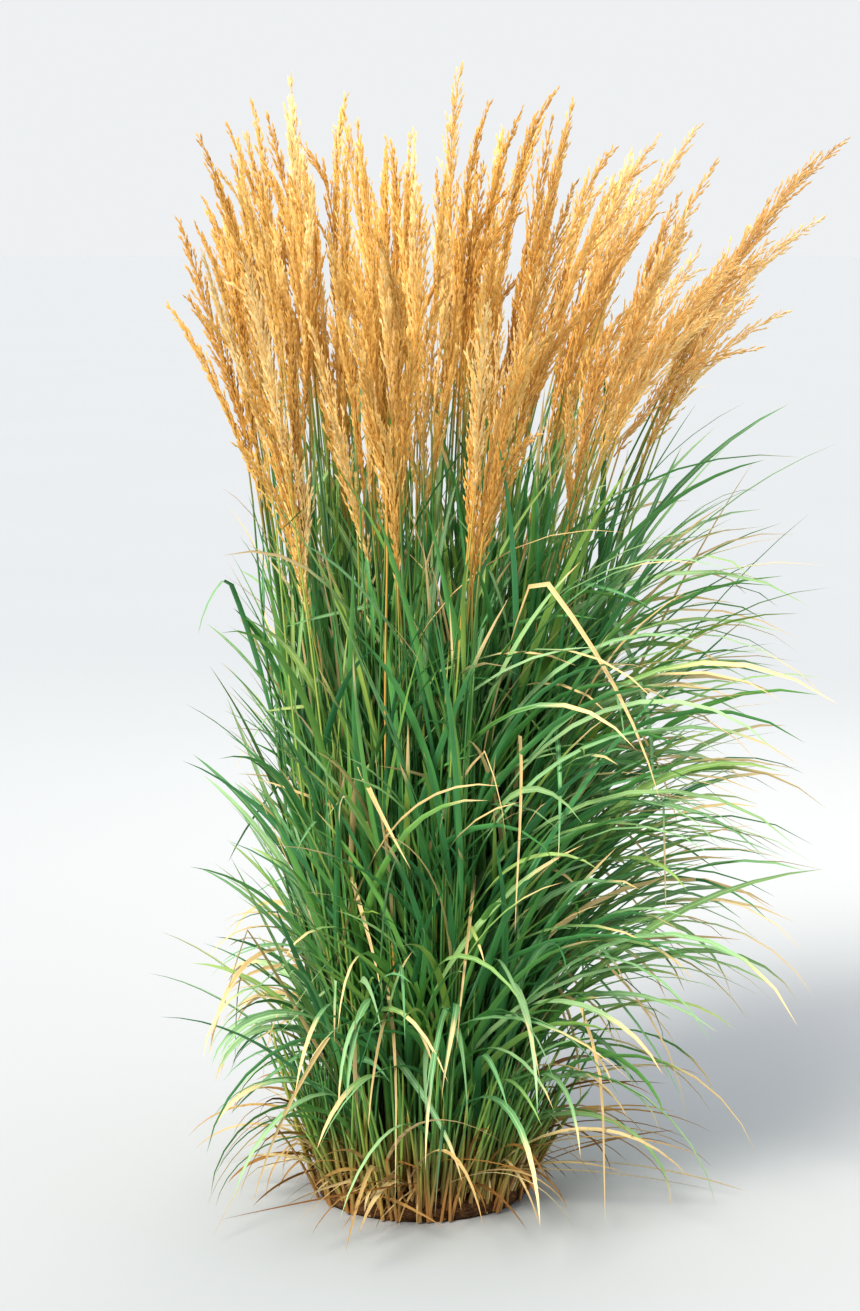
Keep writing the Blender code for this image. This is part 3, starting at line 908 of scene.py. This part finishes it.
def plumeParts(bunch, plume, scatter):
    # branches stand round the axis and point up; spikelets string along the outer part of each branch
    rows, start = plumeShape["rows"], plume["tip"] - plume["length"]
    axis = [headPoint(bunch, plume, between(start, plume["tip"], row / rows)) for row in range(rows + 1)]
    axis = np.array(axis)
    headings = unit(np.gradient(axis, axis=0))
    count = int(plumeShape["branches"] * plume["length"] / plumeShape["perLength"])
    share = (np.arange(count) + scatter.random(count)) / count * 0.975
    full = smoothStep(0.30 + share / 0.40) * (1 - 0.80 * smoothStep((share - 0.42) / 0.58))
    long = plumeShape["branchLength"] * full * scatter.uniform(*plumeShape["varied"], count)
    turn = np.arange(count) * goldenAngle + scatter.uniform(-0.4, 0.4, count)
    angle = np.radians(between(*plumeShape["angle"], plume["open"]) * scatter.uniform(0.5, 1.35, count))
    at = share * rows
    low = np.minimum(at.astype(int), rows - 1)
    feet = axis[low] + (axis[low + 1] - axis[low]) * (at - low)[:, None]
    heading = headings[low]
    side = unit(np.cross(heading, np.array([0.0, 1.0, 0.0])))
    other = np.cross(heading, side)
    out = turned(side, other, turn)
    ways = turned(heading, out, angle)
    spikes = []
    for number in range(count):
        many = max(2, int(long[number] / plumeShape["spacing"]))
        reach = 0.12 + 0.88 * ((np.arange(many) + scatter.uniform(0.1, 0.9, many)) / many)
        root = feet[number] + ways[number] * (long[number] * reach)[:, None]
        lean = np.radians(scatter.uniform(*plumeShape["lean"], many))
        around = scatter.uniform(0, math.tau, many)
        away = unit(turned(side[number], other[number], around) + plumeShape["outwards"] * out[number])
        way = unit(turned(ways[number], away, lean))
        # painted shade darkens the spikelets near the axis, and painted light brightens them where a branch
        # stands out into the light, over each branch's random tone
        outer = plumeShape["paintedLightAndShade"] * (reach[:, None] - 0.60) * min(1.0, long[number] / 0.030)
        outer += scatter.uniform(-plumeShape["shaded"], plumeShape["shaded"])
        spikes.append(np.hstack([root, way, plume["shade"] + outer]))
    shades = np.full((count, 1), plume["shade"])
    return axis, np.hstack([feet, ways, shades, long[:, None]]), np.vstack(spikes)


def plumeMesh(name, bunch, scatter):
    grown = [plumeParts(bunch, plume, scatter) for plume in bunch["heads"]]
    lines = np.array([axis[::4] for axis, branches, spikes in grown])
    branches = np.vstack([branches for axis, branches, spikes in grown])
    spikes = np.vstack([spikes for axis, branches, spikes in grown])
    spikeLong = scatter.uniform(*plumeShape["spikelet"], len(spikes))
    spikeThick = scatter.uniform(*plumeShape["spikeletRadius"], len(spikes))
    branchThick = np.full(len(branches), plumeShape["branchRadius"])
    parts = []
    for template, rooted, long, thick in (
        (spikeletTemplate, spikes, spikeLong, spikeThick),
        (branchTemplate, branches, branches[:, 7], branchThick),
    ):
        corners = straight(template, rooted[:, :3], rooted[:, 3:6], long, thick)
        columns = math.ceil(math.sqrt(len(rooted)))
        parts.append(copied("part", template, corners, columns, tint=rooted[:, 6], tip=alongOf(template)))
    half = np.tile(np.linspace(fineCulm["tip"], 0.0005, lines.shape[1]), (len(lines), 1))
    shades = listed(bunch["heads"], "shade")
    columns = math.ceil(math.sqrt(len(lines)))
    parts.append(tubes("stalks", culmTemplate, lines, half, columns, tint=shades, tip=alongOf(culmTemplate)))
    return smoothed(joined(name, parts), 80)


def srgb(code):
    values = [int(code[index : index + 2], 16) / 255 for index in (1, 3, 5)]
    linear = [value / 12.92 if value < 0.04045 else ((value + 0.055) / 1.055) ** 2.4 for value in values]
    return (*linear, 1.0)


def addNode(tree, kind, settings=None, links=None):
    made = tree.nodes.new("ShaderNode" + kind)
    for key, value in (settings or {}).items():
        if key in made.inputs:
            made.inputs[key].default_value = value
        else:
            setattr(made, key, value)
    for key, source in (links or {}).items():
        tree.links.new(source, made.inputs[key])
    return made


def newMaterial(name, **settings):
    made = bpy.data.materials.new(name)
    made.use_nodes = True
    shader = made.node_tree.nodes["Principled BSDF"]
    for key, value in settings.items():
        shader.inputs[key.replace("_", " ")].default_value = value
    return made, made.node_tree, shader


def mix(tree, low, high, factor):
    # low and high are colours or outputs, factor is an output
    made = tree.nodes.new("ShaderNodeMix")
    made.data_type = "RGBA"
    for socket, value in ((made.inputs[6], low), (made.inputs[7], high)):
        if isinstance(value, tuple):
            socket.default_value = value
        else:
            tree.links.new(value, socket)
    tree.links.new(factor, made.inputs[0])
    return made.outputs[2]


def spread(tree, value, low, high, newLow=0.0, newHigh=1.0):
    settings = {"From Min": low, "From Max": high, "To Min": newLow, "To Max": newHigh}
    return addNode(tree, "MapRange", settings, {"Value": value}).outputs["Result"]


def tinted(tree, colour, code, value, none, full, most):
    # lays a tone over the colour: nothing where the value is at none, most of it where it is at full
    return mix(tree, colour, srgb(code), spread(tree, value, none, full, 0.0, most))


def ramp(tree, factor, *stops):
    # stops are places and sRGB codes
    made = addNode(tree, "ValToRGB", links={"Fac": factor})
    elements = made.color_ramp.elements
    while len(elements) < len(stops):
        elements.new(0.5)
    for element, (place, code) in zip(elements, stops):
        element.position = place
        element.color = srgb(code)
    return made.outputs["Color"]


def calculate(tree, operation, first, second):
    made = tree.nodes.new("ShaderNodeMath")
    made.operation = operation
    for socket, value in zip(made.inputs, (first, second)):
        if isinstance(value, (int, float)):
            socket.default_value = value
        else:
            tree.links.new(value, socket)
    return made.outputs[0]


def attribute(tree, name):
    return addNode(tree, "Attribute", {"attribute_name": name}).outputs["Fac"]


def objectPlace(tree):
    return addNode(tree, "TexCoord").outputs["Object"]


def parted(tree, vector):
    return addNode(tree, "SeparateXYZ", links={"Vector": vector}).outputs


def grain(tree, vector, scale, detail=2.0, **more):
    settings = {"Scale": scale, "Detail": detail, **more}
    return addNode(tree, "TexNoise", settings, {"Vector": vector}).outputs["Fac"]


def stretched(tree, around, length, detail=2.0):
    # places round and along a leaf or stem, and a noise that runs out into long fibres there
    uv = addNode(tree, "UVMap", {"uv_map": "along"}).outputs["UV"]
    mapped = addNode(tree, "Mapping", {"Scale": (around, length, 1.0)}, {"Vector": uv})
    return parted(tree, uv), grain(tree, mapped.outputs["Vector"], 1.0, detail)


def finished(tree, shader, colour, height, strength, distance, rough=None):
    # the base colour and a relief from the height, which may vary the roughness too
    tree.links.new(colour, shader.inputs["Base Color"])
    if rough:
        tree.links.new(spread(tree, height, 0.3, 0.7, *rough), shader.inputs["Roughness"])
    bump = addNode(tree, "Bump", {"Strength": strength, "Distance": distance}, {"Height": height})
    tree.links.new(bump.outputs["Normal"], shader.inputs["Normal"])


def livingLeaf():
    # satin green leaf, lighter and bluish above and darker below, partly its own bloom and partly painted
    # light above and painted shade below, with fine parallel veins and a pale midrib
    made, tree, shader = newMaterial("livingLeaf", Specular_IOR_Level=0.42)
    place, veins = stretched(tree, 44.0, 2.2)
    around, length = place["X"], place["Y"]
    tint, dry = attribute(tree, "tint"), attribute(tree, "dry")
    patches = grain(tree, objectPlace(tree), 9.0, 3.0)
    upper = [(0.0, "#5C9A68"), (0.30, "#74A874"), (0.55, "#96BB8C"), (0.78, "#86AE62"), (1.0, "#A8B868")]
    upper = ramp(tree, tint, *upper)
    under = ramp(tree, tint, (0.0, "#387F50"), (0.40, "#4A8F4C"), (0.75, "#66A24C"), (1.0, "#93AC4E"))
    # upper side lighter and bluer, underside darker: partly the leaf's own two sides, partly painted light
    # above and painted shade below
    green = mix(tree, under, upper, spread(tree, around, 0.499, 0.501, 1.0, 0.0))
    green = tinted(tree, green, "#1E5230", patches, 0.45, 0.70, 0.38)
    green = tinted(tree, green, "#9CC498", veins, 0.52, 0.70, 0.42)
    # the midrib, then the pale foot of the leaf
    middle = calculate(tree, "ABSOLUTE", calculate(tree, "SUBTRACT", around, 0.25), 0.0)
    green = tinted(tree, green, "#B9D8A8", middle, 0.028, 0.010, 0.75)
    green = tinted(tree, green, "#A8B56A", length, 0.10, 0.0, 0.6)
    # dry from the tip down, along the veins first, and brown where it is driest
    straw = ramp(tree, veins, (0.25, "#BE9658"), (0.45, "#D6BC86"), (0.62, "#E4D3A8"), (0.80, "#C8A568"))
    burnt = calculate(tree, "ADD", dry, spread(tree, veins, 0.3, 0.7, -0.25, 0.25))
    colour = mix(tree, green, straw, spread(tree, burnt, 0.36, 0.62))
    colour = tinted(tree, colour, "#8A6232", burnt, 1.0, 1.2, 0.6)
    finished(tree, shader, colour, veins, 0.30, 0.0004, (0.40, 0.62))
    return made


def sheathedStem():
    # smooth green stem, pale and reddish brown near the ground, turning straw-yellow under its plume
    made, tree, shader = newMaterial("sheathedStem", Specular_IOR_Level=0.45)
    veins = stretched(tree, 26.0, 7.0)[1]
    tint, dry = attribute(tree, "tint"), attribute(tree, "dry")
    green = ramp(tree, tint, (0.0, "#2F6B38"), (0.5, "#4E8D4A"), (0.85, "#7FA64E"), (1.0, "#9DB259"))
    green = tinted(tree, green, "#B7CE8C", veins, 0.50, 0.72, 0.45)
    foot = ramp(tree, veins, (0.30, "#74452A"), (0.50, "#A87A45"), (0.70, "#CDAE70"))
    height = parted(tree, objectPlace(tree))["Z"]
    height = calculate(tree, "ADD", height, calculate(tree, "MULTIPLY", tint, 0.07))
    colour = mix(tree, green, foot, spread(tree, height, 0.05, 0.17, 1.0, 0.0))
    straw = ramp(tree, veins, (0.30, "#C08C46"), (0.52, "#DFA953"), (0.72, "#EECB86"))
    colour = mix(tree, colour, straw, spread(tree, dry, 0.10, 0.80))
    finished(tree, shader, colour, veins, 0.35, 0.0005, (0.34, 0.60))
    return made


def ripePlume():
    # dry, papery golden spikelets with lighter tips partly painted as highlights, a soft sheen, painted
    # mottled shade, painted shade that browns the plumes on the left, and lighter plumes towards the right
    made, tree, shader = newMaterial("ripePlume", Sheen_Weight=0.20, Sheen_Roughness=0.45)
    shader.inputs["Sheen Tint"].default_value = srgb("#FFD9A0")
    paintedShadeAndRoughness = grain(tree, objectPlace(tree), 55.0, 3.0)
    fromLeft = parted(tree, objectPlace(tree))["X"]
    tint = attribute(tree, "tint")
    gold = ramp(tree, tint, (0.0, "#C09244"), (0.30, "#E3B65E"), (0.65, "#F4D080"), (1.0, "#FAE4AC"))
    # painted shade: darker mottles where the noise is low, standing for shadow among the spikelets
    gold = tinted(tree, gold, "#B58538", paintedShadeAndRoughness, 0.60, 0.40, 0.35)
    # lighter towards each spikelet's tip: partly its lighter awns, partly a painted highlight
    gold = tinted(tree, gold, "#FBDDA2", attribute(tree, "tip"), 0.45, 1.0, 0.45)
    # painted shade: browner plumes towards the left of the clump
    gold = tinted(tree, gold, "#A3722E", fromLeft, -0.14, -0.34, 0.35)
    # lighter plumes towards the right of the clump
    gold = tinted(tree, gold, "#F6D6A6", fromLeft, 0.10, 0.40, 0.30)
    tree.links.new(gold, shader.inputs["Base Color"])
    tree.links.new(spread(tree, paintedShadeAndRoughness, 0.3, 0.7, 0.60, 0.85), shader.inputs["Roughness"])
    return made


def deadStraw():
    # bleached dead leaf, dull and fibrous, with brown streaks and darker weathered ends
    made, tree, shader = newMaterial("deadStraw", Specular_IOR_Level=0.30)
    place, veins = stretched(tree, 30.0, 3.0, 3.0)
    spots = grain(tree, objectPlace(tree), 60.0)
    tint = attribute(tree, "tint")
    straw = ramp(tree, tint, (0.0, "#6E4A26"), (0.35, "#98743F"), (0.70, "#BF9F66"), (1.0, "#E2D2A4"))
    straw = tinted(tree, straw, "#7A5026", veins, 0.50, 0.30, 0.6)
    straw = tinted(tree, straw, "#5E3D20", spots, 0.60, 0.72, 0.55)
    straw = tinted(tree, straw, "#7D5A34", place["Y"], 0.70, 1.0, 0.5)
    finished(tree, shader, straw, veins, 0.5, 0.0005, (0.58, 0.82))
    return made


def fibrousCrown():
    # matted brown roots and old stem bases, dull and rough, with straw flecks caught in them
    made, tree, shader = newMaterial("fibrousCrown", Roughness=0.88, Specular_IOR_Level=0.22)
    place = objectPlace(tree)
    layered = addNode(tree, "Mapping", {"Scale": (1.0, 1.0, 3.0)}, {"Vector": place}).outputs["Vector"]
    fibres = grain(tree, layered, 120.0, 6.0, Roughness=0.68, Distortion=1.4)
    lumps = grain(tree, place, 26.0, 3.0)
    brown = ramp(tree, fibres, (0.28, "#20150D"), (0.44, "#4A3220"), (0.58, "#7A5938"), (0.74, "#B8935F"))
    brown = tinted(tree, brown, "#2B1C11", lumps, 0.52, 0.36, 0.6)
    finished(tree, shader, brown, calculate(tree, "ADD", fibres, lumps), 0.8, 0.003)
    return made


def paleFloor():
    # plain matt studio floor, a shade warmer and cooler in very large soft patches
    made, tree, shader = newMaterial("paleFloor", Roughness=0.85, Specular_IOR_Level=0.2)
    soft = grain(tree, objectPlace(tree), 0.6, 1.0)
    tree.links.new(mix(tree, srgb("#B1B7BF"), srgb("#B3B9C1"), soft), shader.inputs["Base Color"])
    return made


finishes = {
    "leaf": livingLeaf(),
    "stem": sheathedStem(),
    "plume": ripePlume(),
    "straw": deadStraw(),
    "crown": fibrousCrown(),
    "floor": paleFloor(),
}
print("materials made")

# a few culms are dead and yellow, and one of them stands in front
deadPick = random.Random(5)
for bunch in deadPick.sample(bunches, 3):
    deadPick.choice(bunch["heads"])["dead"] = 1.0
inFront = Vector((-0.046, -0.17, 0.60))
nearest = []
for number, bunch in enumerate(bunches):
    for plume in bunch["heads"]:
        nearest.append(((headPoint(bunch, plume, inFront.z) - inFront).length, number, plume))
min(nearest, key=lambda found: found[:2])[2]["dead"] = 1.0

scatter = np.random.default_rng(31)
for bunch in bunches:
    for one in bunch["leaves"]:
        one.setdefault("tint", fineGrowth.random())
    name = bunch["name"]
    green = [f"leafy_stems_{name}"]
    piece(f"leaves_{name}", leafMesh("leaves", bunch["leaves"]), finishes["leaf"], green)
    piece(f"stems_{name}", stemMesh("stems", bunch), finishes["stem"], green)
    heads = plumeMesh("plumes", bunch, scatter)
    piece(f"heads_{name}", heads, finishes["plume"], [f"plumes_{name}"])
print("leaves, stems and plumes bent into place")

# last year's leaves round the foot: short ones that lie over the crown's rim, then longer ones.
# Around is how far from its tuft one may stand, out and up where its foot is
litter = {
    "perTuft": 10, "around": 0.36, "out": (0.095, 0.136), "up": (0.046, 0.056), "fan": 0.9,
    "rise": (62, 88), "drift": 0.8, "droop": (45, 85), "length": (0.05, 0.13), "bend": (0.5, 1.0),
    "width": (0.0024, 0.0056), "roll": 0.8, "twist": 1.0,
}
thatch = {
    "perTuft": 8, "around": 0.34, "out": (0.085, 0.140), "up": (0.030, 0.052), "fan": 1.0,
    "rise": (30, 84), "drift": 1.1, "tip": (92, 128), "length": (0.12, 0.36), "bend": (0.7, 1.5),
    "width": (0.0026, 0.0064), "roll": 1.2, "twist": 2.0, "kinked": 0.3, "at": (0.2, 0.7),
    "hang": (20, 60),
}


def drawDead(draw, grown, kind):
    azimuth = grown["azimuth"] + swing(draw, kind["around"])
    root = draw.uniform(*kind["rise"]) if "droop" in kind else None
    foot = outward(azimuth) * draw.uniform(*kind["out"]) + upright * draw.uniform(*kind["up"])
    arched = drawArch(draw, kind, foot, azimuth + swing(draw, kind["fan"]), root)
    return leafOf(draw, kind, arched, drawKink(draw, kind))


for grown in tufts:
    dead = [dict(one, kink=None, twist=0.0) for one in grown["blades"]]
    for kind in (litter, thatch):
        wanted = len(dead) + kind["perTuft"]
        while len(dead) < wanted:
            one = drawDead(fineGrowth, grown, kind)
            if keptInside(arch(*one["arch"], kink=one["kink"])):
                dead.append(one)
    for one in dead:
        one["tint"] = fineGrowth.random()
        one["dry"] = 1.0
    name = grown["name"]
    mesh = leafMesh("deadLeaves", dead, 10)
    piece(f"deadLeaves_{name}", mesh, finishes["straw"], [f"dry_blades_{name}"])
print("dead leaves laid")

mound = {
    # shares of the crown's radius and height, from the middle of its underside to the middle of its top
    "profile": (
        (0.0, 0.0), (0.60, 0.0), (0.975, 0.0), (1.0, 0.12), (1.02, 0.30),
        (0.99, 0.52), (0.92, 0.72), (0.78, 0.88), (0.50, 0.97), (0.0, 1.0),
    ),
    "sides": 144, "ridge": 0.0042, "lump": 0.004,
}
stubble = {
    "count": 250, "out": (0.03, 0.93), "lean": (0, 34), "aside": 0.16, "foot": (0.036, 0.020),
    "length": (0.022, 0.085), "radius": (0.0011, 0.0026), "darker": 0.8,
}


def moundMesh():
    # the profile spun round the upright, then pushed in and out along fine radial ridges, flat underneath
    bm = bmesh.new()
    corners = []
    for share, height in mound["profile"]:
        corners.append(bm.verts.new((share * clump["crownRadius"], 0.0, height * clump["crownTop"])))
    outline = [bm.edges.new(pair) for pair in zip(corners, corners[1:])]
    turning = {"cent": (0.0, 0.0, 0.0), "axis": (0.0, 0.0, 1.0), "angle": math.tau, "steps": mound["sides"]}
    bmesh.ops.spin(bm, geom=corners + outline, **turning)
    bmesh.ops.remove_doubles(bm, verts=bm.verts, dist=1e-5)
    bmesh.ops.recalc_face_normals(bm, faces=bm.faces)
    for vert in bm.verts:
        if vert.co.z < 1e-4:
            continue
        turn = math.atan2(vert.co.y, vert.co.x)
        ridges = noise.noise(Vector((9 * math.cos(turn), 9 * math.sin(turn), vert.co.z * 30)))
        lumps = noise.noise(vert.co * 34)
        out = Vector((vert.co.x, vert.co.y, 0.35 * vert.co.z)).normalized()
        vert.co += out * (mound["ridge"] * (ridges + 0.8 * lumps)) + upright * (mound["lump"] * lumps)
        vert.co.z = max(vert.co.z, 0.0006)
    return smoothed(meshOf(bm, "mound"), 70)


def stubbleMesh(draw):
    # cut culms of earlier years, thickest in number towards the rim: the solids' own, then finer ones.
    # Each row is a foot, a way, a length, a radius and a tint
    rows = []
    for foot, tip in stubs:
        way = (tip - foot).normalized()
        rows.append((*foot, *way, (tip - foot).length, stub["radius"], draw.random()))
    while len(rows) < stubble["count"]:
        out = outward(draw.uniform(0, math.tau))
        share = math.sqrt(draw.uniform(*stubble["out"]))
        lean = math.radians(share * draw.uniform(*stubble["lean"]))
        side = leftOf(out) * swing(draw, stubble["aside"])
        foot = out * (share * clump["crownRadius"]) + upright * between(*stubble["foot"], share)
        way = (tilted(out, lean) + side).normalized()
        size = draw.uniform(*stubble["length"]), draw.uniform(*stubble["radius"])
        rows.append((*foot, *way, *size, draw.random() * stubble["darker"]))
    rows = np.array(rows)
    corners = straight(stubbleTemplate, rows[:, :3], rows[:, 3:6], rows[:, 6], rows[:, 7])
    return smoothed(copied("stubble", stubbleTemplate, corners, 16, tint=rows[:, 8]), 60)


piece("crownMound", moundMesh(), finishes["crown"], ["crown"])
piece("crownStubble", stubbleMesh(fineGrowth), finishes["straw"], ["crown"])
print("crown built")


def facing(way):
    return way.to_track_quat("-Z", "Y").to_euler()


stage = {"floor": 400.0, "world": "#F4F6F8", "worldStrength": 0.80}
bm = bmesh.new()
bmesh.ops.create_grid(bm, x_segments=8, y_segments=8, size=stage["floor"] / 2)
floor = placed("floor", meshOf(bm, "floor"))
floor.data.materials.append(finishes["floor"])

world = bpy.data.worlds.new("studio")
bpy.context.scene.world = world
world.use_nodes = True
world.node_tree.nodes["Background"].inputs["Color"].default_value = srgb(stage["world"])
world.node_tree.nodes["Background"].inputs["Strength"].default_value = stage["worldStrength"]

# a broad sun from the upper left in front, and a warm disc behind that edges the plumes
daylight = {"way": (2.0, 3.0, -3.4), "strength": 3.9, "angle": 22, "tone": "#FFF4E2"}
sun = bpy.data.lights.new("key", "SUN")
sun.energy = daylight["strength"]
sun.angle = math.radians(daylight["angle"])
sun.color = srgb(daylight["tone"])[:3]
placed("key", sun).rotation_euler = facing(Vector(daylight["way"]))

disc = {"place": (1.0, 3.0, 3.0), "aim": (0.0, 0.0, 1.1), "size": 2.0, "power": 40.0, "tone": "#FFF1D8"}
light = bpy.data.lights.new("back", "AREA")
light.shape = "DISK"
light.size = disc["size"]
light.energy = disc["power"]
light.color = srgb(disc["tone"])[:3]
back = placed("back", light)
back.location = disc["place"]
back.rotation_euler = facing(Vector(disc["aim"]) - Vector(disc["place"]))

# the photograph looks slightly down on the clump from about four metres
shot = {"distance": 4.0, "elevation": 8.0, "aim": (0.012, 0.0, 0.742), "angle": 24.8}
camera = bpy.data.cameras.new("camera")
camera.sensor_fit = "VERTICAL"
camera.angle = math.radians(shot["angle"])
viewer = placed("camera", camera)
rise = math.radians(shot["elevation"])
aim = Vector(shot["aim"])
viewer.location = aim + shot["distance"] * Vector((0.0, -math.cos(rise), math.sin(rise)))
viewer.rotation_euler = facing(aim - viewer.location)
bpy.context.scene.camera = viewer
bpy.context.scene.view_settings.view_transform = "Standard"
bpy.context.scene.view_settings.look = "Medium High Contrast"
print("stage set")

polygons = [made.data.polygons for made in bpy.data.objects if made.type == "MESH" and made.visible_get()]
print("triangles:", sum(len(face.vertices) - 2 for faces in polygons for face in faces))
